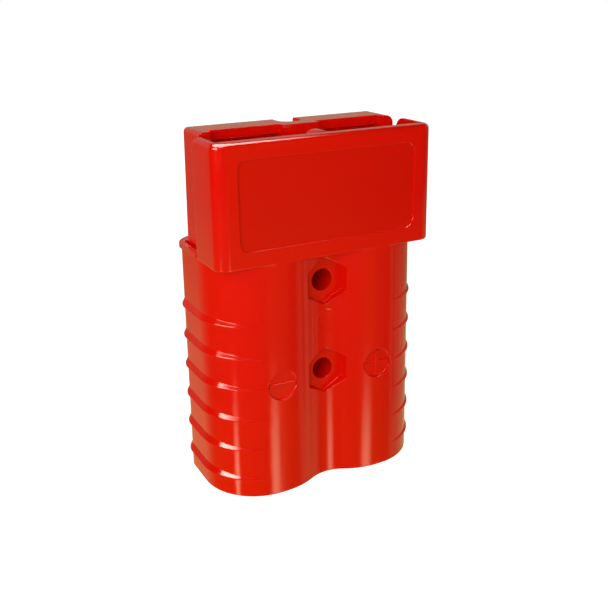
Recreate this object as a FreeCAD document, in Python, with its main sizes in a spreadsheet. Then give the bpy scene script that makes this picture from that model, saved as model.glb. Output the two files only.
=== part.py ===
import FreeCAD, Part
import os
import re

# Genderless two pole power connector: one moulded housing, two flat wiping contacts and their springs.
# The frame: X runs across the two poles, -Y is the front with the hood, +Z is the mating direction.
# The origin is the centre of the footprint, at the cable end. Lengths are in millimetres.

# Driving dimensions: alias, value, what it is.
SIZES = [
    ("depth", 37.0, "front to back, from the hood's face to the rear rim"),
    ("floor_height", 74.0, "height of the floor inside the hood"),
    ("lobe_x", 18.0, "middle of a lobe's rounded front corner from the centre"),
    ("lobe_round", 17.5, "radius of a lobe at the front"),
    ("back_round", 8.4, "radius of the rear corners"),
    ("valley_depth", 4.1, "how far the valley between the lobes is cut back"),
    ("valley_round", 12.0, "radius of the valley's hollow"),
    ("crest_x", 16.0, "where a lobe's flat crest begins, from the centre"),
    ("draft_width", 0.9, "how much narrower the body is each side at its top"),
    ("hood_width", 69.0, "over the hood's side walls, at its rim"),
    ("hood_draft", 0.4, "how much wider the hood is each side at its lower edge"),
    ("hood_top", 108.0, "height of the hood's rim"),
    ("hood_lap", 0.7, "how far the hood's lower edge lies below the floor inside it"),
    ("hood_plate", 3.65, "thickness of the hood's front plate"),
    ("hood_wall", 2.0, "thickness of the hood's side walls, at the rim"),
    ("hood_round", 4.0, "radius of the hood's front corners"),
    ("rim_edge", 1.5, "radius on the outside of the hood's rim"),
    ("hood_edge", 0.5, "radius on the hood's lower edge"),
    ("rear_round", 3.5, "radius where a side wall's rear edge meets the rim"),
    ("mate_y", -1.2, "plane on which two connectors meet"),
    ("mate_gap", 0.2, "distance kept from the meeting plane"),
    ("slide_gap", 0.3, "clearance round the mating connector"),
    ("panel_side", 6.5, "width of the frame at the sunk panel's sides"),
    ("panel_frame", 4.7, "width of the frame above and below the sunk panel"),
    ("panel_sink", 0.35, "depth of the sunk panel"),
    ("panel_round", 3.0, "corner radius of the sunk panel"),
    ("tongue_top", 108.7, "height of the tongue behind the contacts"),
    ("tongue_round", 2.4, "radius of the tongue's upper right corner"),
    ("tongue_corner", 1.4, "radius of the tongue's upper left corner"),
    ("tongue_edge", 0.7, "radius of the tongue's rear corners"),
    ("tongue_draft", 0.6, "how far the tongue's sides and back lean in up to its top"),
    ("key_half", 3.3, "half the width of the key rib in the hood"),
    ("key_reach", 8.4, "how far the key rib stands out from the plate"),
    ("key_rise", 0.2, "how far the key rib stands above the rim"),
    ("key_crown", 3.0, "radius of the key rib's domed top"),
    ("pole_x", 17.0, "a pole's centre line from the middle"),
    ("channel_width", 22.2, "width of a contact channel"),
    ("channel_back", 6.0, "rear face of a contact channel"),
    ("lip_front", 1.6, "front edge of the lip over a channel"),
    ("lip_height", 2.7, "height of the lip over a channel"),
    ("rim_proud", 0.7, "how far the seat round the tongue's foot stands out from the body"),
    ("seat_gap", 0.1, "what is left over the tongue's tip when two connectors meet"),
    ("foot_width", 0.9, "width of the groove round the tongue's foot"),
    ("foot_depth", 2.2, "depth of the groove round the tongue's foot"),
    ("bolt_drop", 9.6, "how far the upper fixing hole lies below the floor inside the hood"),
    ("bolt_pitch", 28.7, "distance between the fixing holes"),
    ("bolt_hole", 6.8, "diameter of the fixing holes"),
    ("hex_flats", 13.0, "width across the flats of a nut pocket"),
    ("hex_floor", -12.7, "where a nut pocket's floor lies, front to back"),
    ("mark_height", 36.0, "height of the polarity marks"),
    ("mark_x", 16.3, "distance of a polarity mark from the centre"),
    ("mark_size", 9.4, "diameter of a polarity mark"),
    ("mark_sink", 0.8, "depth of a polarity mark"),
    ("grip_low", 5.6, "lower edge of the lowest grip rib"),
    ("grip_pitch", 9.9, "distance between grip ribs"),
    ("grip_count", 6, "number of grip ribs on a side"),
    ("grip_height", 2.9, "height of a grip rib"),
    ("grip_proud", 0.85, "how far a grip rib stands out at the side"),
    ("grip_end", 22.5, "where a grip rib dies out, from the centre"),
    ("grip_round", 0.8, "radius on a grip rib's upper edge"),
    ("entry_bore", 28.0, "diameter of a cable entry"),
    ("entry_depth", 22.0, "depth of a cable entry"),
    ("barrel_bore", 20.0, "diameter of the bore that holds a contact's barrel"),
    ("barrel_gap", 0.3, "clearance round a contact's barrel"),
    ("wire_bore", 14.9, "diameter of the bore for the conductor"),
    ("wire_stop", 3.7, "what is left of a barrel above the conductor's bore"),
    ("neck_length", 6.0, "height over which a barrel is flattened into its blade"),
    ("blade_width", 20.6, "width of a contact's blade"),
    ("blade_thick", 3.6, "thickness of a contact's blade"),
    ("blade_length", 36.5, "length of a contact's blade, up to its nose"),
    ("nose_room", 7.5, "what is left between a contact's nose and the lip over it"),
    ("nose_round", 3.4, "outer radius of the bent nose"),
    ("throat_gap", 0.6, "clearance in front of a blade in its throat, and over its barrel's bore"),
    ("spring_width", 13.0, "width of a spring"),
    ("spring_thick", 0.8, "thickness of a spring"),
    ("spring_stand", 11.0, "length of a spring that stands against the channel's back"),
    ("spring_bow", 15.0, "height over which a spring bows forward to the blade"),
    ("spring_press", 7.5, "how far below a contact's nose its spring presses"),
    ("spring_end", 2.0, "how far below a contact's nose its spring ends"),
    ("spring_gap", 0.05, "gap between a spring and what it touches"),
]
# Places that follow from the sizes: alias, formula, what it is.
PLACES = [
    ("hood_bottom", "=floor_height - hood_lap", "height of the hood's lower edge"),
    ("seat_height", "=floor_height + tongue_top - hood_top + seat_gap", "height of the mate's seat"),
    ("tongue_back", "=2 * mate_y + depth / 2 - hood_plate - slide_gap", "the tongue's back, at its foot"),
    ("tongue_half", "=hood_width / 2 - hood_wall - slide_gap", "half the tongue's width, at its foot"),
    ("bolt_low", "=floor_height - bolt_drop - bolt_pitch", "height of the lower fixing hole"),
    ("blade_top", "=tongue_top - lip_height - nose_room", "height of a contact's nose"),
    ("blade_root", "=blade_top - blade_length", "height at which a blade begins"),
    ("barrel_top", "=blade_root - neck_length", "upper end of a contact's barrel"),
    ("spring_crest", "=blade_top - spring_press", "height at which a spring presses the blade"),
    ("spring_tip", "=blade_top - spring_end", "upper end of a spring"),
    ("spring_bend", "=spring_crest - spring_bow", "where a spring leaves the channel's back"),
    ("spring_foot", "=spring_bend - spring_stand", "lower end of a spring"),
]

doc = FreeCAD.newDocument("connector")
sheet = doc.addObject("Spreadsheet::Sheet", "sizes")
for row, (alias, value, note) in enumerate(SIZES + PLACES, 1):
    sheet.set(f"A{row}", note)
    sheet.set(f"B{row}", str(value))
    sheet.setAlias(f"B{row}", alias)
doc.recompute()
WORDS = {alias for alias, value, note in SIZES + PLACES}
UP = FreeCAD.Vector(0, 0, 1)
BACK = FreeCAD.Vector(0, 1, 0)
ALONG_Y = FreeCAD.Rotation(FreeCAD.Vector(1, 0, 0), -90)


def size(alias):
    """A driving dimension, read from the sheet."""
    return float(sheet.get(alias))


def bind(thing, **formulas):
    """Tie properties to formulas written with the sheet's own words."""
    for name, formula in formulas.items():
        text = re.sub(r"[a-z_]+", lambda word: "sizes." + word.group() if word.group() in WORDS
                      else word.group(), str(formula))
        thing.setExpression(name.replace("__", "."), text)
    return thing


def box(name, left, right, front, rear, bottom, top):
    """A block between two formulas along each axis."""
    block = doc.addObject("Part::Box", name)
    return bind(block, Length=f"({right}) - ({left})", Width=f"({rear}) - ({front})",
                Height=f"({top}) - ({bottom})", Placement__Base__x=left,
                Placement__Base__y=front, Placement__Base__z=bottom)


def tapered(name, half, front, rear, bottom, top, lean, rear_lean):
    """A block whose sides, and whose rear where wanted, lean in from its foot up to its top."""
    block = doc.addObject("Part::Wedge", name)
    block.Placement.Rotation = FreeCAD.Rotation(FreeCAD.Vector(1, 0, 0), 90)
    return bind(block, Ymin=bottom, Ymax=top, Xmin=f"-({half})", Xmax=half,
                Zmin=f"-({rear})", Zmax=f"-({front})", X2min=f"{lean} - ({half})",
                X2max=f"{half} - {lean}", Z2min=f"{rear_lean} - ({rear})", Z2max=f"-({front})")


def post(name, across, depthwise, radius, bottom, top):
    """An upright cylinder."""
    cylinder = doc.addObject("Part::Cylinder", name)
    return bind(cylinder, Radius=radius, Height=f"({top}) - ({bottom})", Placement__Base__x=across,
                Placement__Base__y=depthwise, Placement__Base__z=bottom)


def bore(name, across, height, radius, front, rear):
    """A cylinder that runs from front to back."""
    cylinder = doc.addObject("Part::Cylinder", name)
    cylinder.Placement.Rotation = ALONG_Y
    return bind(cylinder, Radius=radius, Height=f"({rear}) - ({front})", Placement__Base__x=across,
                Placement__Base__y=front, Placement__Base__z=height)


def nut_pocket(name, height):
    """A six sided pocket from the front, with its points up and down."""
    prism = doc.addObject("Part::Prism", name)
    prism.Polygon = 6
    prism.Placement.Rotation = ALONG_Y * FreeCAD.Rotation(UP, 30)
    return bind(prism, Circumradius="hex_flats / 2 / cos(30)", Height="hex_floor + depth / 2",
                Placement__Base__y="-depth / 2", Placement__Base__z=height)


def shaped(name, shape):
    """A solid whose outline is worked out from the sheet."""
    feature = doc.addObject("Part::Feature", name)
    feature.Shape = shape
    return feature


def fuse(name, pieces):
    union = doc.addObject("Part::MultiFuse", name)
    union.Shapes = pieces
    return union


def cut(name, base, tool):
    difference = doc.addObject("Part::Cut", name)
    difference.Base = base
    difference.Tool = tool
    return difference


def rounded(name, base, wanted, radius):
    """Fillet the edges for which wanted(edge) is true; the shape below is built first."""
    doc.recompute()
    numbers = [number for number, edge in enumerate(base.Shape.Edges, 1) if wanted(edge)]
    fillet = doc.addObject("Part::Fillet", name)
    fillet.Base = base
    fillet.Edges = [(number, size(radius), size(radius)) for number in numbers]
    return fillet


def runs(edge, direction):
    """True for a straight edge along a direction."""
    if not isinstance(edge.Curve, Part.Line):
        return False
    return abs(edge.tangentAt(edge.FirstParameter).dot(direction)) > 0.999


def at(edge, **places):
    """True where an edge's middle has the given coordinates, such as y=0."""
    middle = edge.CenterOfMass
    return all(abs(getattr(middle, axis) - place) < 0.01 for axis, place in places.items())


# Places that several pieces share.
HALF_DEPTH = size("depth") / 2
BODY_BACK = HALF_DEPTH - size("rim_proud")
WALL_REAR = "mate_y - mate_gap"
TONGUE_FRONT = "mate_y + mate_gap"


def spot(x, y, z):
    return FreeCAD.Vector(x, y, z)


def bulge(start, end, centre):
    """The short arc from start to end about a centre."""
    way = (start + end) / 2 - centre
    return Part.Arc(start, centre + way.normalize() * (start - centre).Length, end).toShape()


def across(shape):
    """The same shape on the other side of the middle."""
    return shape.mirror(spot(0, 0, 0), spot(1, 0, 0))


def lobe_at(height):
    """Where a lobe's middle lies at a height: the sides lean in by the draft."""
    return size("lobe_x") - size("draft_width") * height / size("floor_height")


def outline(height, grow=0.0):
    """The body's closed outline at a height: two lobes with a valley between them in front and
    behind, flat sides, and wider corners in front than behind."""
    lobe, crest, dip = lobe_at(height), size("crest_x"), size("valley_depth")
    radius, corner = size("lobe_round") + grow, size("back_round") + grow
    front, back = -HALF_DEPTH - grow, BODY_BACK + grow
    side, hollow = lobe + radius, size("valley_round")
    # Two equal and opposite turns lead from the valley's bottom to the flat crest.
    reach = (crest ** 2 + dip ** 2) / (2 * dip)
    share = hollow / reach
    half = [
        bulge(spot(0, front + dip, height), spot(crest * share, front + dip * (1 - share), height),
              spot(0, front + dip - hollow, height)),
        bulge(spot(crest * share, front + dip * (1 - share), height), spot(crest, front, height),
              spot(crest, front + reach - hollow, height)),
        Part.makeLine(spot(crest, front, height), spot(lobe, front, height)),
        bulge(spot(lobe, front, height), spot(side, front + radius, height),
              spot(lobe, front + radius, height)),
        Part.makeLine(spot(side, front + radius, height), spot(side, back - corner, height)),
        bulge(spot(side, back - corner, height), spot(side - corner, back, height),
              spot(side - corner, back - corner, height)),
        Part.makeLine(spot(side - corner, back, height), spot(crest, back, height)),
        bulge(spot(crest, back, height), spot(crest * share, back - dip * (1 - share), height),
              spot(crest, back - reach + hollow, height)),
        bulge(spot(crest * share, back - dip * (1 - share), height), spot(0, back - dip, height),
              spot(0, back - dip + hollow, height)),
    ]
    return Part.Wire(Part.__sortEdges__(half + [across(edge) for edge in half]))


def grip_rib(number):
    """One rib round a flank: the flank's outline pushed out sideways, so that it is proud at the
    side and dies out on the lobe's front, with a round upper and a sharp lower edge."""
    low = size("grip_low") + number * size("grip_pitch")
    proud, radius, corner = size("grip_proud"), size("lobe_round"), size("back_round")
    past = size("grip_end") - size("lobe_x")
    inset = proud * past / (radius ** 2 - past ** 2) ** 0.5
    lobe = lobe_at(low) + proud
    side, front, back = lobe + radius, -HALF_DEPTH + inset, BODY_BACK - inset
    skin = [
        bulge(spot(lobe, front, low), spot(side, front + radius, low), spot(lobe, front + radius, low)),
        Part.makeLine(spot(side, front + radius, low), spot(side, back - corner, low)),
        bulge(spot(side, back - corner, low), spot(side - corner, back, low),
              spot(side - corner, back - corner, low)),
    ]
    inside = [Part.makeLine(spot(side - corner, back, low), spot(lobe, back, low)),
              Part.makeLine(spot(lobe, back, low), spot(lobe, front, low))]
    slab = Part.Face(Part.Wire(skin + inside)).extrude(UP * size("grip_height"))
    top = low + size("grip_height")
    edges = [edge for edge in slab.Edges if edge.BoundBox.ZMin > top - 0.01
             and edge.CenterOfMass.x > lobe + corner / 2]
    return slab.makeFillet(size("grip_round"), edges)


def seat():
    """The ledge on which the mate's hood comes to rest: the body's outline grown a little, behind
    the meeting plane only, and no wider than the hood's lower edge."""
    low, top = size("hood_bottom"), size("seat_height")
    band = Part.Face(outline(low, size("rim_proud"))).extrude(UP * (top - low))
    half = size("hood_width") / 2 + size("hood_draft")
    rear = Part.makeBox(2 * half, size("depth"), top, spot(-half, size("mate_y") - size("mate_gap"), 0))
    return band.common(rear)


def hood():
    """Front plate and side walls as one block; the space inside is cut with the rest."""
    block = tapered("hood_block", "hood_width / 2 + hood_draft", "-depth / 2", WALL_REAR,
                    "hood_bottom", "hood_top", "hood_draft", "0")
    rear = size("mate_y") - size("mate_gap")
    block = rounded("hood_corners", block,
                    lambda edge: runs(edge, UP) and at(edge, y=-HALF_DEPTH), "hood_round")
    block = rounded("hood_rear_corners", block, lambda edge: runs(edge, spot(1, 0, 0))
                    and at(edge, y=rear, z=size("hood_top")), "rear_round")
    for height, radius in (("hood_top", "rim_edge"), ("hood_bottom", "hood_edge")):
        block = rounded(radius + "_made", block, lambda edge: edge.CenterOfMass.y < rear - 0.1
                        and edge.BoundBox.ZLength < 0.01 and at(edge, z=size(height)), radius)
    return block


def tongue():
    """The wall behind the contacts, drafted, with rounded upper corners and rear edges."""
    block = tapered("tongue_block", "tongue_half", TONGUE_FRONT, "tongue_back",
                    "seat_height - foot_depth", "tongue_top", "tongue_draft", "tongue_draft")
    for side, radius in ((-1, "tongue_corner"), (1, "tongue_round")):
        block = rounded(radius + "_made", block, lambda edge: runs(edge, BACK)
                        and edge.CenterOfMass.x * side > size("hood_width") / 4
                        and at(edge, z=size("tongue_top")), radius)
    back = size("tongue_back") - size("tongue_draft")
    return rounded("tongue_edges", block,
                   lambda edge: edge.BoundBox.YMin > back - 0.01
                   and edge.CenterOfMass.z > size("hood_bottom") + 1, "tongue_edge")


def key_rib():
    """The rounded rib inside the plate that keeps two connectors in line."""
    reach = "hood_plate - depth / 2 + key_reach"
    top = "hood_top + key_rise"
    rib = fuse("key_blank", [
        box("key_web", "-key_half", "key_half", "0.8 * hood_plate - depth / 2",
            f"{reach} - key_half", "hood_bottom", top),
        post("key_nose", "0", f"{reach} - key_half", "key_half", "hood_bottom", top)])
    rib.Refine = True
    height = size("hood_top") + size("key_rise")
    return rounded("key_rib", rib, lambda edge: edge.BoundBox.ZMin > height - 0.01, "key_crown")


def key_groove():
    """The groove in the tongue's back that takes the mate's key rib."""
    nose = "2 * mate_y + depth / 2 - hood_plate - key_reach + key_half"
    wide = "key_half + slide_gap"
    low = "seat_height - key_rise - slide_gap"
    return [box("groove_web", f"-({wide})", wide, nose, "depth / 2", low, "tongue_top + 1"),
            post("groove_nose", "0", nose, wide, low, "tongue_top + 1")]


def hood_space():
    """The room inside the hood for the mate's tongue, open at the top and the rear."""
    half = "hood_width / 2 - hood_wall"
    return box("hood_space", f"-({half})", half, "hood_plate - depth / 2", TONGUE_FRONT,
               "floor_height", "hood_top + 5")


def foot_groove():
    """The narrow groove round the tongue's foot; the tongue is put in afterwards."""
    half = "tongue_half + foot_width"
    return box("foot_groove", f"-({half})", half, TONGUE_FRONT, "tongue_back + foot_width",
               "seat_height - foot_depth", "seat_height + 1")


def channel(side, name):
    """Room for one contact's blade and spring, with a lip left over it."""
    middle = f"{side} * pole_x"
    left, right = f"{middle} - channel_width / 2", f"{middle} + channel_width / 2"
    return [box(f"{name}_channel", left, right, "mate_y - throat_gap", "channel_back", "barrel_top",
                "tongue_top - lip_height"),
            box(f"{name}_lip_cut", left, right, "mate_y - 1", "lip_front", "floor_height",
                "tongue_top + 1")]


def pole_bores(side, name):
    """The cable entry and the bore for one contact's barrel."""
    middle = f"{side} * pole_x"
    return [post(f"{name}_entry", middle, "0", "entry_bore / 2", "-1", "entry_depth"),
            post(f"{name}_barrel_bore", middle, "0", "barrel_bore / 2", "entry_depth - 1",
                 "blade_root + throat_gap")]


def fixing_holes():
    """Two holes from front to back, with a nut pocket in front of each."""
    holes = []
    for number in range(2):
        height = f"bolt_low + {number} * bolt_pitch"
        holes.append(bore(f"bolt_hole_{number + 1}", "0", height, "bolt_hole / 2", "-depth / 2",
                          "depth / 2"))
        holes.append(nut_pocket(f"nut_pocket_{number + 1}", height))
    return holes


def panel():
    """The sunk panel on the hood's face."""
    half = "hood_width / 2 - panel_side"
    block = box("panel_sheet", f"-({half})", half, "-depth / 2 - 1", "panel_sink - depth / 2",
                "hood_bottom + panel_frame", "hood_top - panel_frame")
    return rounded("panel_corners", block, lambda edge: runs(edge, BACK), "panel_round")


def housing():
    """The one piece moulding: body, grip ribs, hood, rim and tongue, less everything cut into it."""
    body = Part.makeLoft([outline(0), outline(size("floor_height"))], True, True)
    ribs = [grip_rib(number) for number in range(int(size("grip_count")))]
    shell = body.fuse(ribs + [across(rib) for rib in ribs])
    ground = fuse("moulding_blank", [shaped("column", shell), shaped("seat", seat()), hood()])
    space = fuse("outer_rooms", [hood_space(), foot_groove()])
    opened = cut("opened_blank", ground, space)
    solid = fuse("solid_moulding", [opened, tongue(), key_rib()])
    cutters = [panel()] + fixing_holes() + key_groove()
    for side, name in ((-1, "negative"), (1, "positive")):
        cutters += channel(side, name) + pole_bores(side, name)
        cutters.append(bore(f"{name}_mark", f"{side} * mark_x", "mark_height", "mark_size / 2",
                            "-depth / 2 - 1", "mark_sink - depth / 2"))
    made = cut("housing", solid, fuse("cut_away", cutters))
    made.Label = "housing"
    return made


def swept(path, width, thick):
    """A flat strip along a path that lies in a plane across X."""
    first = path.Edges[0]
    start = first.valueAt(first.FirstParameter)
    ahead = first.tangentAt(first.FirstParameter)
    sideways = spot(1, 0, 0)
    normal = ahead.cross(sideways)
    corners = [start + sideways * (width / 2 * a) + normal * (thick / 2 * b)
               for a, b in ((-1, -1), (1, -1), (1, 1), (-1, 1), (-1, -1))]
    return path.makePipeShell([Part.makePolygon(corners)], True, False)


def contact(side, name):
    """A copper contact: a round barrel for the conductor, flattened above into a blade whose
    front face lies on the meeting plane and whose nose bends back under the lip."""
    loose = size("barrel_gap")
    outer = size("barrel_bore") / 2 - loose
    foot, top, root = size("entry_depth") + loose, size("barrel_top"), size("blade_root")
    width, thick = size("blade_width"), size("blade_thick")
    middle = size("mate_y") + thick / 2
    barrel = Part.makeCylinder(outer, top - foot, spot(0, 0, foot))
    ring = Part.Wire(Part.makeCircle(outer, spot(0, 0, top)))
    flat = Part.makePolygon([spot(a * width / 2, middle + b * thick / 2, root)
                             for a, b in ((1, 1), (-1, 1), (-1, -1), (1, -1), (1, 1))])
    neck = Part.makeLoft([ring, flat], True, True)
    bend = size("nose_round") - thick / 2
    nose = size("blade_top") - size("nose_round")
    path = Part.Wire([
        Part.makeLine(spot(0, middle, root), spot(0, middle, nose)),
        Part.Arc(spot(0, middle, nose), spot(0, middle + bend * (1 - 0.5 ** 0.5),
                 nose + bend * 0.5 ** 0.5), spot(0, middle + bend, nose + bend)).toShape(),
    ])
    solid = barrel.fuse([neck, swept(path, width, thick)]).removeSplitter()
    hollow = Part.makeCylinder(size("wire_bore") / 2, top - size("wire_stop") - foot, spot(0, 0, foot))
    made = shaped(name, solid.cut(hollow))
    made.Label = name
    made.Placement = FreeCAD.Placement(spot(side * size("pole_x"), 0, 0), FreeCAD.Rotation())
    return made


def spring(side, name):
    """A stainless leaf that stands against the channel's back and bows forward to press on the
    back of the blade near its nose."""
    thick, gap = size("spring_thick"), size("spring_gap")
    rear = size("channel_back") - gap - thick / 2
    front = size("mate_y") + size("blade_thick") + gap + thick / 2
    low, crest, tip = size("spring_bend"), size("spring_crest"), size("spring_tip")
    # Two equal and opposite turns lead from the channel's back to the crest.
    travel, rise = rear - front, crest - low
    radius = (travel ** 2 + rise ** 2) / (4 * travel)
    half = spot(0, (rear + front) / 2, (low + crest) / 2)
    tail = tip - crest
    tail_y = front + radius - (radius ** 2 - tail ** 2) ** 0.5
    path = Part.Wire([
        Part.makeLine(spot(0, rear, size("spring_foot")), spot(0, rear, low)),
        bulge(spot(0, rear, low), half, spot(0, rear - radius, low)),
        bulge(half, spot(0, front, crest), spot(0, front + radius, crest)),
        bulge(spot(0, front, crest), spot(0, tail_y, tip), spot(0, front + radius, crest)),
    ])
    made = shaped(name, swept(path, size("spring_width"), thick))
    made.Label = name
    made.Placement = FreeCAD.Placement(spot(side * size("pole_x"), 0, 0), FreeCAD.Rotation())
    return made


things = [housing()]
for sign, pole in ((-1, "negative"), (1, "positive")):
    things.append(contact(sign, f"contact_{pole}"))
    things.append(spring(sign, f"spring_{pole}"))
doc.recompute()
for thing in doc.Objects:
    if "Invalid" in thing.State or "Error" in thing.State:
        raise RuntimeError(f"{thing.Name} failed: {thing.State}")
for thing in things:
    if thing.Shape.isNull() or not thing.Shape.isValid():
        raise RuntimeError(f"{thing.Label} has no valid shape")
os.makedirs("parts", exist_ok=True)
for thing in things:
    thing.Shape.exportStep(f"parts/{thing.Label}.step")
    print(thing.Label, len(thing.Shape.Solids), "solid,", round(thing.Shape.Volume), "cubic mm")
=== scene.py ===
# %% [markdown]
# # A genderless power connector in red polycarbonate
#
# Two of these connectors are alike, and each has both halves of the joint: an open hood in front and
# a tongue with two flat contacts behind it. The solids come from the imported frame. This script gives
# them the look of the moulded thing: gloss, soft edges, the small marks that a mould leaves, and the
# raised signs of the two poles. Everything is in the frame's own metres: X across the poles, -Y the
# front, +Z the mating direction.

# %% Load the frame
import math

import bmesh
import bpy
import numpy as np
from mathutils import Matrix, Vector


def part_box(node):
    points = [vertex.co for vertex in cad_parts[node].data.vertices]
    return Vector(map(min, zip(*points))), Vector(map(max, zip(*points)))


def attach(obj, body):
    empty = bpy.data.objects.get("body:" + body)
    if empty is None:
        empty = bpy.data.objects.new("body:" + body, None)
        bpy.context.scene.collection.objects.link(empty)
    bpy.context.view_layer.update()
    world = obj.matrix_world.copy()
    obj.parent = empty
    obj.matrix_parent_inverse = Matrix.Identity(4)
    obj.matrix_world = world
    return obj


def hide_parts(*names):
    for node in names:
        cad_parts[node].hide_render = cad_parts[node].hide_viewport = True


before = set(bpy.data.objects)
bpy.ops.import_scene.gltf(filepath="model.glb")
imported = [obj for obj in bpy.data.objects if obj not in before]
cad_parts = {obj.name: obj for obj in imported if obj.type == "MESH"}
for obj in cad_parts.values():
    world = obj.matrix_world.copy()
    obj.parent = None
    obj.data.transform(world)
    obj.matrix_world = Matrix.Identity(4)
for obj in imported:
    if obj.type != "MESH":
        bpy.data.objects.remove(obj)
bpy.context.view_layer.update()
MM = 0.001
scene = bpy.context.scene
scene.view_settings.view_transform = "Standard"
print("frame's nodes:", sorted(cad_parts))

# %% [markdown]
# ## Writing shader maths as Python
#
# A material is a graph of nodes. Wrapping each socket in a small class lets a mask be written the way
# it would be on paper, such as `1 - mask * 0.5`: every operator adds the Math node it stands for.


# %% The class for shader maths
class Flow:
    """A value that runs through a node tree. Operators on it add Math nodes."""

    def __init__(self, paint, socket):
        self.paint, self.socket = paint, socket

    def _with(self, operation, other, swapped=False):
        values = (other, self) if swapped else (self, other)
        return self.paint.node("ShaderNodeMath", values, operation=operation)

    def __add__(self, other):
        return self._with("ADD", other)

    __radd__ = __add__

    def __sub__(self, other):
        return self._with("SUBTRACT", other)

    def __rsub__(self, other):
        return self._with("SUBTRACT", other, swapped=True)

    def __mul__(self, other):
        return self._with("MULTIPLY", other)

    def __pow__(self, other):
        return self._with("POWER", other)

    def __abs__(self):
        return self.paint.node("ShaderNodeMath", (self,), operation="ABSOLUTE")

    def low_of(self, other):
        return self._with("MINIMUM", other)

    def high_of(self, other):
        return self._with("MAXIMUM", other)

    def step(self, start, end):
        """0 below start, 1 above end, and a smooth climb between them."""
        return self.paint.node("ShaderNodeMapRange", (self, start, end, 0.0, 1.0),
                               interpolation_type="SMOOTHSTEP")

    def fall(self, start, end):
        """1 below start, 0 above end, and a smooth descent between them."""
        return 1.0 - self.step(start, end)

    def near(self, middle, half, soft):
        """1 within half of the middle, 0 beyond half + soft."""
        return abs(self - middle).fall(half, half + soft)


class Paint:
    """A node tree, with one method that adds any node and a few for what is needed often."""

    def __init__(self, tree):
        self.tree = tree
        tree.nodes.clear()

    def node(self, kind, values=(), out=0, named=None, **settings):
        """Add a node: its settings first, then values or links for its inputs, by order or name."""
        made = self.tree.nodes.new(kind)
        for name, value in settings.items():
            setattr(made, name, value)
        places = list(enumerate(values)) + list((named or {}).items())
        for place, value in places:
            if isinstance(value, Flow):
                self.tree.links.new(value.socket, made.inputs[place])
            elif value is not None:
                made.inputs[place].default_value = value
        return Flow(self, made.outputs[out]) if len(made.outputs) else None

    def place(self):
        """The point itself, in metres in Object coordinates."""
        return self.node("ShaderNodeTexCoord", out="Object")

    def apart(self, vector):
        """The x, y and z of a vector as three separate values."""
        split = self.node("ShaderNodeSeparateXYZ", (vector,)).socket.node
        return [Flow(self, output) for output in split.outputs]

    def rays(self):
        """Two masks: 1 for a ray from the camera, and 1 for a ray that a surface sends on."""
        kinds = self.node("ShaderNodeLightPath").socket.node.outputs
        camera_ray, glossy, through = [Flow(self, kinds[f"Is {kind} Ray"])
                                       for kind in ("Camera", "Glossy", "Transmission")]
        return camera_ray, glossy.high_of(through)

    def noise(self, where, scale, detail):
        """Cloudy values round 0.5, with scale clouds to the metre."""
        return self.node("ShaderNodeTexNoise", out="Fac",
                         named={"Vector": where, "Scale": scale, "Detail": detail})

    def mix(self, share, first, second):
        """A colour that goes from first to second as share goes from 0 to 1."""
        return self.node("ShaderNodeMix", out=2, named={0: share, 6: first, 7: second},
                         data_type="RGBA")

    def bump(self, height, reach, strength, normal=None):
        """Turn a height in units of reach metres into a surface normal."""
        return self.node("ShaderNodeBump", named={"Height": height, "Distance": reach,
                                                  "Strength": strength, "Normal": normal})

    def finish(self, **sockets):
        """Close the tree with a Principled surface whose sockets are given by name."""
        named = {name.replace("_", " "): value for name, value in sockets.items()}
        surface = self.node("ShaderNodeBsdfPrincipled", named=named)
        self.node("ShaderNodeOutputMaterial", (surface,))


def material(name):
    """A new material and the Paint that fills its tree."""
    made = bpy.data.materials.new(name)
    made.use_nodes = True
    return made, Paint(made.node_tree)


# %% [markdown]
# ## The red moulding
#
# The housing is one piece of through-coloured polycarbonate. It is glossy but not a mirror: the mould
# leaves a very fine unevenness, the thick places sink a little, and handling adds a few hairlines.
# Three small marks come from the mould itself: a round pin mark between the two screws, a fine line
# where the halves of the mould meet along each flank, and the rings of ejector pins on the back.
#
# All of this could be modelled, but it is only hundredths of a millimetre deep, so a Bump node does
# it. The heights are functions of Object coordinates, so they stay where they are when the camera
# moves. A Bevel node rounds every moulded edge a little, as no tool makes a perfectly sharp one. The
# heights of the screws and the edges of the panel repeat the sizes of the part's source, because a
# mesh no longer knows which of its faces is a hole or a panel.

# %% Places of the marks
SCREW_LOW, SCREW_HIGH = 35.7 * MM, 64.4 * MM
PIN_X, PIN_Z = 0.5 * MM, (SCREW_LOW + SCREW_HIGH) / 2 + 2.0 * MM
PIN_RADIUS, PIN_EDGE = 3.6 * MM, 0.35 * MM
SEAM_Y, SEAM_WIDTH = 1.5 * MM, 0.16 * MM
EJECTORS = [(aside * MM, height * MM) for height in (60, 24) for aside in (-19, 19)]
EJECTOR_RADIUS, EJECTOR_WIDTH = 3.2 * MM, 0.3 * MM
PANEL_HALF, PANEL_LOW, PANEL_HIGH = 28.0 * MM, 78.0 * MM, 103.3 * MM
PANEL_EDGE = 0.3 * MM
# Where a mask starts and ends: Y for front, panel and back, X for the flanks, Z for the hood's foot.
FRONT_PART, PANEL_FRONT, BACK_PART = (-4 * MM, -2 * MM), (-17 * MM, -16 * MM), (8 * MM, 10 * MM)
FLANK_PART, HOOD_FOOT = (30 * MM, 32 * MM), (72.5 * MM, 73.5 * MM)
print("ejector pins at, mm:", [(round(x / MM), round(z / MM)) for x, z in EJECTORS])


# %% Round marks in the XZ plane
def distance(x, z, middle_x, middle_z):
    """How far a point is from a middle: the root of dx squared plus dz squared."""
    return ((x - middle_x) ** 2.0 + (z - middle_z) ** 2.0) ** 0.5


def ring(x, z, middle_x, middle_z, radius, width):
    """1 on a circle, 0 further than width from it: 1 - smooth step of | distance - radius |."""
    return distance(x, z, middle_x, middle_z).near(radius, 0.0, width)


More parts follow.
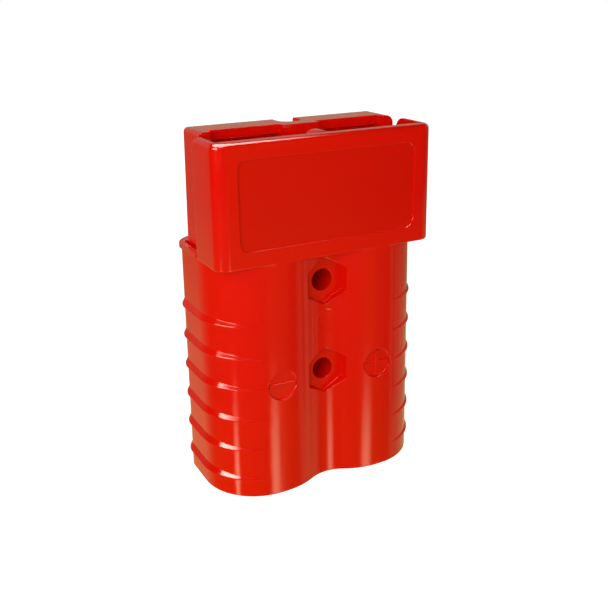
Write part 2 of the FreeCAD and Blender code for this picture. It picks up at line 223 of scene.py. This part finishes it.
def disc(x, z, middle_x, middle_z, radius, width):
    """1 inside a circle, 0 outside, with a smooth edge of the given width just inside it."""
    return distance(x, z, middle_x, middle_z).fall(radius - width, radius)


# %% Red polycarbonate
RED = (0.67, 0.0040, 0.0003, 1.0)
DEEP_RED = (0.61, 0.0034, 0.0003, 1.0)
RED_IOR = 1.46
EDGE_ROUND, EDGE_SAMPLES = 0.28 * MM, 6
RED_REACH, RED_STRENGTH = 0.14 * MM, 0.55
PIN_RISE, SEAM_RISE, EJECTOR_RISE, SINK_RISE, SKIN_RISE = -0.5, 0.35, 0.4, 0.5, 0.012
# Each noise: clouds to the metre, and how many finer layers it has.
SINKS, SKIN, HANDLED, CLOUDS = (55.0, 1.0), (1400.0, 2.0), (160.0, 3.0), (38.0, 2.0)


def mould_marks(x, y, z):
    """Heights of the three marks, in units of RED_REACH: each is its mask times its own height."""
    pin_mark = disc(x, z, PIN_X, PIN_Z, PIN_RADIUS, PIN_EDGE) * y.fall(*FRONT_PART)
    seam = y.near(SEAM_Y, 0.0, SEAM_WIDTH) * abs(x).step(*FLANK_PART) * z.fall(*HOOD_FOOT)
    on_back = y.step(*BACK_PART)
    pins = 0.0
    for aside, height in EJECTORS:
        pins = pins + ring(x, z, aside, height, EJECTOR_RADIUS, EJECTOR_WIDTH) * on_back
    return pin_mark * PIN_RISE + seam * SEAM_RISE + pins * EJECTOR_RISE


def red_plastic():
    """Gloss over red, with two shades of it: the deeper one lies in soft clouds and over all of the
    sunk panel."""
    made, paint = material("red_polycarbonate")
    where = paint.place()
    x, y, z = paint.apart(where)
    sinks, skin, handled, clouds = [paint.noise(where, *kind) for kind in (SINKS, SKIN, HANDLED, CLOUDS)]
    edges = paint.node("ShaderNodeBevel", named={"Radius": EDGE_ROUND}, samples=EDGE_SAMPLES)
    height = mould_marks(x, y, z) + sinks * SINK_RISE + skin * SKIN_RISE
    panel = (abs(x).fall(PANEL_HALF - PANEL_EDGE, PANEL_HALF)
             * z.step(PANEL_LOW, PANEL_LOW + PANEL_EDGE)
             * z.fall(PANEL_HIGH - PANEL_EDGE, PANEL_HIGH) * y.fall(*PANEL_FRONT))
    deeper = clouds.step(0.35, 0.75) * 0.35 + panel
    paint.finish(Base_Color=paint.mix(deeper, RED, DEEP_RED),
                 Roughness=0.11 + handled.step(0.45, 0.9) * 0.05 + skin * 0.02,
                 Normal=paint.bump(height, RED_REACH, RED_STRENGTH, edges), IOR=RED_IOR)
    return made


PLASTIC = red_plastic()
print("red plastic:", len(PLASTIC.node_tree.nodes), "nodes")

# %% [markdown]
# ## Grip ribs
#
# On the real moulding a grip rib is a saw tooth: a flat underside, a narrow crest that catches the
# light, and a slope that runs up to the wall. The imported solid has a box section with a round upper
# edge. A tooth laid over the box would leave two skins, and a cut would need the whole body made
# again, so the corners of the box are moved to where the tooth has them. Only the outer skin of the
# flanks is touched, because the walls of the bores inside have corners at some of the same heights.

# %% Sizes of the ribs
RIB_LOW, RIB_PITCH, RIB_COUNT = 5.6 * MM, 9.9 * MM, 6
RIB_HEIGHT, RIB_ROUND, RIB_PROUD = 2.9 * MM, 0.8 * MM, 0.85 * MM
RIB_FOOT, RIB_CREST, RIB_TOP = 0.1 * MM, 0.5 * MM, 2.2 * MM
RIB_LIP = 0.07 * MM
LOBE_X, LOBE_Y, LOBE_ROUND = 18.0 * MM, -1.0 * MM, 17.5 * MM
BORE_X, BORE_CLEAR, FLANK = 17.0 * MM, 15.0 * MM, 22.0 * MM
SLACK = 0.01 * MM
print("feet of the ribs, mm:", [round((RIB_LOW + n * RIB_PITCH) / MM, 1) for n in range(RIB_COUNT)])


# %% From a box section to a saw tooth
def rib_profile(height):
    """Where a point of a rib goes, from its height above the rib's foot. Below the round upper edge
    the face shrinks to a narrow crest. With s from 0 to 1 up that edge, its quarter circle becomes a
    straight slope, RIB_CREST + (RIB_TOP - RIB_CREST) (1 - sqrt(1 - s^2))."""
    face = RIB_HEIGHT - RIB_ROUND
    share = np.clip((height - face) / RIB_ROUND, 0.0, 1.0)
    slope = RIB_CREST + (RIB_TOP - RIB_CREST) * (1.0 - np.sqrt(1.0 - share ** 2))
    crest = RIB_FOOT + (RIB_CREST - RIB_FOOT) * height / face
    return np.where(height < face, crest, slope)


def rib_share(across, depth):
    """How much of a rib's full depth a point stands out of the body's wall, from 0 to 1. The wall is
    a cylinder of radius LOBE_ROUND in front of LOBE_Y and a plane behind it."""
    in_front = np.hypot(across - LOBE_X, depth - LOBE_Y)
    out = np.where(depth < LOBE_Y, in_front, across - LOBE_X) - LOBE_ROUND
    return np.clip(out / RIB_PROUD, 0.0, 1.0)


def sharpen_ribs(mesh):
    """Move the ribs' corners: heights follow rib_profile, and the foot comes out by RIB_LIP times
    rib_share, so that the crest leans back."""
    corners = np.empty(len(mesh.vertices) * 3)
    mesh.vertices.foreach_get("co", corners)
    corners = corners.reshape(-1, 3)
    across, depth, height = np.abs(corners[:, 0]), corners[:, 1], corners[:, 2]
    lip = np.sign(corners[:, 0]) * rib_share(across, depth) * RIB_LIP
    outside = (across > FLANK) & (np.hypot(across - BORE_X, depth) > BORE_CLEAR)
    for number in range(RIB_COUNT):
        above = height - (RIB_LOW + number * RIB_PITCH)
        on_rib = outside & (above > -SLACK) & (above < RIB_HEIGHT + SLACK)
        foot = on_rib & (above < SLACK)
        corners[foot, 0] += lip[foot]
        corners[on_rib, 2] = (height - above + rib_profile(above))[on_rib]
    mesh.vertices.foreach_set("co", corners.ravel())
    mesh.update()


# %% [markdown]
# ## Smooth copies of the solids
#
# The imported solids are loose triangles, which would show as facets on the round lobes. A copy whose
# corners are merged can be shaded smooth, with a hard edge kept wherever two faces meet at more than
# a small angle. The copy then stands for its node. Making the body again by hand would be the other
# way, but its holes and channels would never lie exactly where the solid has them.

# %% Smooth a node
HARD_EDGE = math.radians(23)
MERGED = 0.0005 * MM


def smooth_copy(node, name, finish):
    """Merge the corners of a copy of a node, shade it smooth up to HARD_EDGE, and show it instead."""
    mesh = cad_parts[node].data.copy()
    mesh.name = name
    work = bpy.data.objects.new(name, mesh)
    scene.collection.objects.link(work)
    shape = bmesh.new()
    shape.from_mesh(mesh)
    bmesh.ops.remove_doubles(shape, verts=shape.verts, dist=MERGED)
    shape.to_mesh(mesh)
    shape.free()
    if node == "housing":
        sharpen_ribs(mesh)
    if mesh.has_custom_normals:
        mesh.attributes.remove(mesh.attributes["custom_normal"])
    mesh.polygons.foreach_set("use_smooth", np.ones(len(mesh.polygons), bool))
    mesh.set_sharp_from_angle(angle=HARD_EDGE)
    mesh.materials.clear()
    mesh.materials.append(finish)
    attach(work, "root")
    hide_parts(node)
    print(name, len(mesh.vertices), "corners,", len(mesh.polygons), "faces")


smooth_copy("housing", "housing_moulding", PLASTIC)

# %% [markdown]
# ## The signs of the two poles
#
# In each round hollow stands a low raised sign: a bar for minus, a cross for plus. A sign is a thin
# slab with its upper edge drawn in, as a mould cutter leaves it. Its outline is walked once, and four
# copies of it at growing heights, each a little smaller than the last, make the wall and the top.
# Text objects could give the same signs, but their strokes would have a font's widths.

# %% Outline of a sign
SIGN_HEIGHT, SIGN_ASIDE = 36.0 * MM, 16.3 * MM
HOLLOW_DEPTH = 0.8 * MM
SIGN_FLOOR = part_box("housing")[0].y + HOLLOW_DEPTH
SIGN_REACH, SIGN_HALF, SIGN_RISE = 4.25 * MM, 0.62 * MM, 0.5 * MM
SIGN_FOOT, SIGN_DRAW = -0.15 * MM, 0.14 * MM
print("floor of the signs' hollows at y, mm:", round(SIGN_FLOOR / MM, 2))


def sign_outline(arms):
    """Corners of a bar (two arms) or a cross (four arms), counter-clockwise seen from the front.
    Each arm runs SIGN_REACH from the middle and is 2 SIGN_HALF wide. A cross is a quarter of its
    outline, turned four times."""
    far, half = SIGN_REACH, SIGN_HALF
    if arms == 2:
        return np.array([(-far, -half), (far, -half), (far, half), (-far, half)])
    quarter = np.array([(far, -half), (far, half), (half, half)])
    turns = [np.array([[math.cos(a), math.sin(a)], [-math.sin(a), math.cos(a)]])
             for a in (0, math.pi / 2, math.pi, 3 * math.pi / 2)]
    return np.vstack([quarter @ turn for turn in turns])


# %% Raised signs
def sign(name, middle_x, arms):
    """Stack the outline in layers of (height over the hollow's floor, share of SIGN_DRAW drawn in),
    join each layer to the next by a wall of squares, and close both ends."""
    outline = sign_outline(arms)
    inward = np.sign(outline) * SIGN_DRAW
    layers = [(SIGN_FOOT, 0.0), (SIGN_RISE * 0.6, 0.0), (SIGN_RISE * 0.9, 0.5), (SIGN_RISE, 1.0)]
    corners = np.vstack([np.column_stack([middle_x + (outline - inward * share)[:, 0],
                                          np.full(len(outline), SIGN_FLOOR - rise),
                                          SIGN_HEIGHT + (outline - inward * share)[:, 1]])
                         for rise, share in layers])
    count, top = len(outline), (len(layers) - 1) * len(outline)
    faces = [(start + i, start + (i + 1) % count, start + count + (i + 1) % count, start + count + i)
             for start in range(0, top, count) for i in range(count)]
    faces.append(tuple(range(count - 1, -1, -1)))
    faces.append(tuple(range(top, top + count)))
    mesh = bpy.data.meshes.new(name)
    mesh.from_pydata(corners.tolist(), [], faces)
    mesh.materials.append(PLASTIC)
    mesh.validate()
    made = bpy.data.objects.new(name, mesh)
    scene.collection.objects.link(made)
    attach(made, "root")
    print(name, len(mesh.vertices), "corners,", len(mesh.polygons), "faces")


sign("sign_minus", -SIGN_ASIDE, 2)
sign("sign_plus", SIGN_ASIDE, 4)

# %% [markdown]
# ## Contacts and springs
#
# The contacts are copper with a silver plate that has dulled a little to yellow, and bright rubbing
# lines where a mate's contact has wiped along them. The springs are rolled stainless strip, whose
# grain runs along the leaf. In both, a noise that is stretched along the piece makes the lines: a
# Mapping node shrinks Z before the noise reads it. A drawn line each would look ruled.

# %% Silver plate and stainless strip
SILVER_WHITE, SILVER_DULL = (0.80, 0.79, 0.75, 1.0), (0.62, 0.55, 0.42, 1.0)
STEEL_DARK, STEEL_PALE = (0.50, 0.50, 0.49, 1.0), (0.62, 0.61, 0.59, 1.0)
WIPED_REACH, GRAIN_REACH = 0.02 * MM, 0.015 * MM


def stretched(paint, where, shrink):
    """The point with its Z times shrink, so that a noise of it runs in lines along Z."""
    return paint.node("ShaderNodeMapping", (where,), named={"Scale": (1.0, 1.0, shrink)})


def silver_plate():
    """Silver that turns yellower and rougher where tarnish, a clouded mask, is strong."""
    made, paint = material("silver_plate")
    where = paint.place()
    tarnish = paint.noise(where, 120.0, 4.0).step(0.4, 0.75)
    wiped = paint.noise(stretched(paint, where, 0.04), 2600.0, 2.0)
    paint.finish(Base_Color=paint.mix(tarnish * 0.6, SILVER_WHITE, SILVER_DULL), Metallic=1.0,
                 Roughness=0.24 + tarnish * 0.2, Normal=paint.bump(wiped, WIPED_REACH, 0.5))
    return made


def stainless():
    """Steel whose colour, roughness and height all follow one stretched noise, the grain."""
    made, paint = material("stainless_strip")
    grain = paint.noise(stretched(paint, paint.place(), 0.03), 3800.0, 3.0)
    paint.finish(Base_Color=paint.mix(grain, STEEL_DARK, STEEL_PALE), Metallic=1.0,
                 Roughness=0.30 + grain * 0.08, Normal=paint.bump(grain, GRAIN_REACH, 0.6))
    return made


SILVER, STEEL = silver_plate(), stainless()
for pole in ("negative", "positive"):
    smooth_copy(f"contact_{pole}", f"contact_bar_{pole}", SILVER)
    smooth_copy(f"spring_{pole}", f"spring_leaf_{pole}", STEEL)

# %% [markdown]
# ## Camera
#
# The photograph was taken from the front's left and from above. The camera's place could be tried by
# hand, but a shift of a millimetre shows. It was found by fitting the straight edges of the hood, the
# panel, the tongue and the base. The fit measured depth from the front face, at a scale a little
# larger than the part's, so its spot is scaled and moved back here.

# %% Camera
CAMERA_YAW, CAMERA_PITCH, CAMERA_ROLL = 27.40, 20.343, -0.921
CAMERA_OFFSET = Vector((8.3007, -8.7664, 253.2138))
FIT_SCALE, FIT_HEIGHT, FIT_FRONT = 0.986, 50.0, 18.5
LENS, SENSOR = 49.85, 36.0
CLIP_NEAR, CLIP_FAR = 0.01, 20.0


def camera_turn():
    """Turn from camera axes to the frame's: heading about Z, then tilt, then roll about the view."""
    return (Matrix.Rotation(-math.radians(CAMERA_YAW), 3, "Z")
            @ Matrix.Rotation(math.radians(90 - CAMERA_PITCH), 3, "X")
            @ Matrix.Rotation(math.radians(CAMERA_ROLL), 3, "Z"))


turn = camera_turn()
right, up, back = turn.col[0], turn.col[1], turn.col[2]
spot = Vector((0, 0, FIT_HEIGHT)) - (right * CAMERA_OFFSET.x + up * CAMERA_OFFSET.y
                                     - back * CAMERA_OFFSET.z)
spot = spot * FIT_SCALE - Vector((0, FIT_FRONT, 0))
lens = bpy.data.cameras.new("camera")
lens.lens, lens.sensor_width, lens.sensor_fit = LENS, SENSOR, "HORIZONTAL"
lens.clip_start, lens.clip_end = CLIP_NEAR, CLIP_FAR
camera = bpy.data.objects.new("camera", lens)
camera.matrix_world = Matrix.Translation(spot * MM) @ turn.to_4x4()
scene.collection.objects.link(camera)
scene.camera = camera
print("camera stands at, mm:", [round(v, 1) for v in spot])

# %% [markdown]
# ## Floor
#
# The photograph's ground is plain white, with hardly a shadow. A wide floor takes the light, and most
# of it glows, so that it comes out as white as the world behind it. In the real picture the gloss
# shows nothing of the table, so rays that the gloss sends on go through the floor to the studio.

# %% Floor
FLOOR_HALF = 3.0
FLOOR_GREY = (0.86, 0.86, 0.86, 1.0)
FLOOR_GLOW, GLOW_SHARE = 1.35, 0.75
WHITE = (1.0, 1.0, 1.0, 1.0)


def floor_finish():
    """Glow over grey to the camera, plain grey to the light, and clear to the gloss."""
    made, paint = material("pale_floor")
    camera_ray, sent_on = paint.rays()
    matt = paint.node("ShaderNodeBsdfDiffuse", (FLOOR_GREY,))
    glow = paint.node("ShaderNodeEmission", (WHITE, FLOOR_GLOW))
    pale = paint.node("ShaderNodeMixShader", (GLOW_SHARE, matt, glow))
    seen = paint.node("ShaderNodeMixShader", (camera_ray, matt, pale))
    clear = paint.node("ShaderNodeBsdfTransparent")
    surface = paint.node("ShaderNodeMixShader", (sent_on, seen, clear))
    paint.node("ShaderNodeOutputMaterial", (surface,))
    return made


floor_mesh = bpy.data.meshes.new("floor")
floor_mesh.from_pydata([(-FLOOR_HALF, -FLOOR_HALF, 0), (FLOOR_HALF, -FLOOR_HALF, 0),
                        (FLOOR_HALF, FLOOR_HALF, 0), (-FLOOR_HALF, FLOOR_HALF, 0)], [], [(0, 1, 2, 3)])
floor_mesh.materials.append(floor_finish())
floor = bpy.data.objects.new("floor", floor_mesh)
scene.collection.objects.link(floor)
print("floor:", 2 * FLOOR_HALF, "m wide")

# %% [markdown]
# ## The studio that the gloss shows
#
# Glossy plastic is read by what it reflects. The photograph's studio was dark in front, so that the
# red stays deep, pale behind, and lit by a few soft boxes. Lamps that the gloss can see could stand
# round the object, but each would change the red's own brightness together with its reflection. So
# the world draws the boxes for the gloss alone, as functions of the direction, and lamps that the
# gloss doesn't see light the red.

# %% World
DAY_WARM, DAY_WHITE = (1.0, 0.88, 0.55, 1.0), (1.0, 0.95, 0.86, 1.0)
DUSK = (1.0, 0.95, 0.05, 1.0)
PLAIN_LIGHT = 0.42
# The middle of the ceiling box leans ten degrees to the left: its x and its rise, then its soft edge.
CEILING_X, CEILING_RISE, CEILING_EDGE, CEILING_POWER = -0.17, 0.985, (0.77, 0.84), 16.0
# Azimuths are a middle, a half width and a soft edge in degrees, and LEFT_RISE is the same as a sine.
LEFT_AZ, LEFT_RISE, LEFT_POWER = (-74.0, 16.0, 6.0), (0.17, 0.11, 0.05), 24.0
FIELD_AZ, FIELD_TOP, FIELD_POWER = (71.0, 11.0, 8.0), (-0.30, -0.20), 0.30
BAR_AZ, BAR_FOOT, SECOND_BAR_AZ = (67.5, 1.0, 3.5), (-0.47, -0.44), (80.0, 1.5, 4.0)
BANDS, BANDS_TOP = (((14.0, 2.0, 11.0), 4.3), ((-66.0, 1.5, 5.0), 6.0)), (-0.52, -0.41)


def windows(x, az, rise):
    """Brightness of the boxes: each is a product of smooth steps, and they are added up. az is the
    angle from the front in degrees, positive to the right, and rise the sine of the height."""
    off = abs(az + CAMERA_YAW)
    off = off.low_of(360.0 - off)
    # The pale wall behind the object, brighter above the horizon and again low down.
    wall = 0.21 + rise.step(-0.12, 0.12) * 0.19 + rise.fall(-0.40, -0.29) * 0.20
    behind = off.step(90.0, 122.0) * rise.fall(0.40, 0.65) * wall
    ceiling = (rise * CEILING_RISE + x * CEILING_X).step(*CEILING_EDGE) * CEILING_POWER
    # A small bright box on the left, just above the horizon: the grip ribs show it.
    left = az.near(*LEFT_AZ) * rise.near(*LEFT_RISE) * LEFT_POWER
    # On the right a faint pale field with two dark bars in it, the first only in its upper part.
    bar, second_bar = az.near(*BAR_AZ) * rise.step(*BAR_FOOT), az.near(*SECOND_BAR_AZ)
    field = az.near(*FIELD_AZ) * rise.fall(*FIELD_TOP) * FIELD_POWER
    lit = behind + ceiling + left + field * (1.0 - bar) * (1.0 - second_bar)
    # Upright bands below the horizon, which the round fronts of the lobes show as long lines.
    for band, power in BANDS:
        lit = lit + az.near(*band) * rise.fall(*BANDS_TOP) * power
    return lit


def dim_room(az, rise):
    """Brightness of the unlit room: a trace everywhere, two steps of it low down, and a soft broad
    column near the front."""
    return (0.01 + rise.fall(-0.30, -0.22) * 0.09 + rise.fall(-0.48, -0.42) * 0.13
            + az.near(16.0, 6.0, 18.0) * 0.12)


def studio():
    """The windows, warm low down and whiter above, and the dim room for rays that the gloss sends on;
    white for the camera, and PLAIN_LIGHT from all sides for the rest."""
    world = bpy.data.worlds.new("studio")
    world.use_nodes = True
    scene.world = world
    paint = Paint(world.node_tree)
    x, y, rise = paint.apart(paint.node("ShaderNodeTexCoord", out="Generated"))
    az = paint.node("ShaderNodeMath", (x, y * -1.0), operation="ARCTAN2") * math.degrees(1)
    camera_ray, sent_on = paint.rays()
    tint = paint.mix(rise.step(0.0, 0.3), DAY_WARM, DAY_WHITE)
    room = paint.node("ShaderNodeBackground", (tint, windows(x, az, rise) * sent_on))
    dusk = paint.node("ShaderNodeBackground", (DUSK, dim_room(az, rise) * sent_on))
    plain = (1.0 - sent_on) * PLAIN_LIGHT
    sky = paint.node("ShaderNodeBackground", (WHITE, plain + (1.0 - plain) * camera_ray))
    both = paint.node("ShaderNodeAddShader", (room, dusk))
    paint.node("ShaderNodeOutputWorld", (paint.node("ShaderNodeAddShader", (both, sky)),))
    print("world:", len(world.node_tree.nodes), "nodes")


studio()

# %% [markdown]
# ## Lamps
#
# Three soft boxes light the red itself: the key from the left of the camera, a weaker fill from the
# right, and one from behind for the tops. They are kept out of the gloss, which has the world's
# windows instead.

# %% Lamps
LAMP_AIM = Vector((0, 0, 60))


def softbox(name, place, width, height, power):
    """A rectangular lamp at place, in millimetres, that faces LAMP_AIM and lights no reflection."""
    lamp = bpy.data.lights.new(name, "AREA")
    lamp.shape, lamp.size, lamp.size_y, lamp.energy = "RECTANGLE", width * MM, height * MM, power
    made = bpy.data.objects.new(name, lamp)
    made.location = Vector(place) * MM
    way = (LAMP_AIM - Vector(place)).normalized()
    made.rotation_euler = way.to_track_quat("-Z", "Y").to_euler()
    made.visible_glossy = False
    scene.collection.objects.link(made)
    print(name, "lamp:", power, "W")


softbox("key", (-345, -290, 220), 400, 280, 1.58)
softbox("fill", (520, -300, 240), 240, 220, 0.40)
softbox("rear", (160, 560, 420), 400, 280, 1.20)
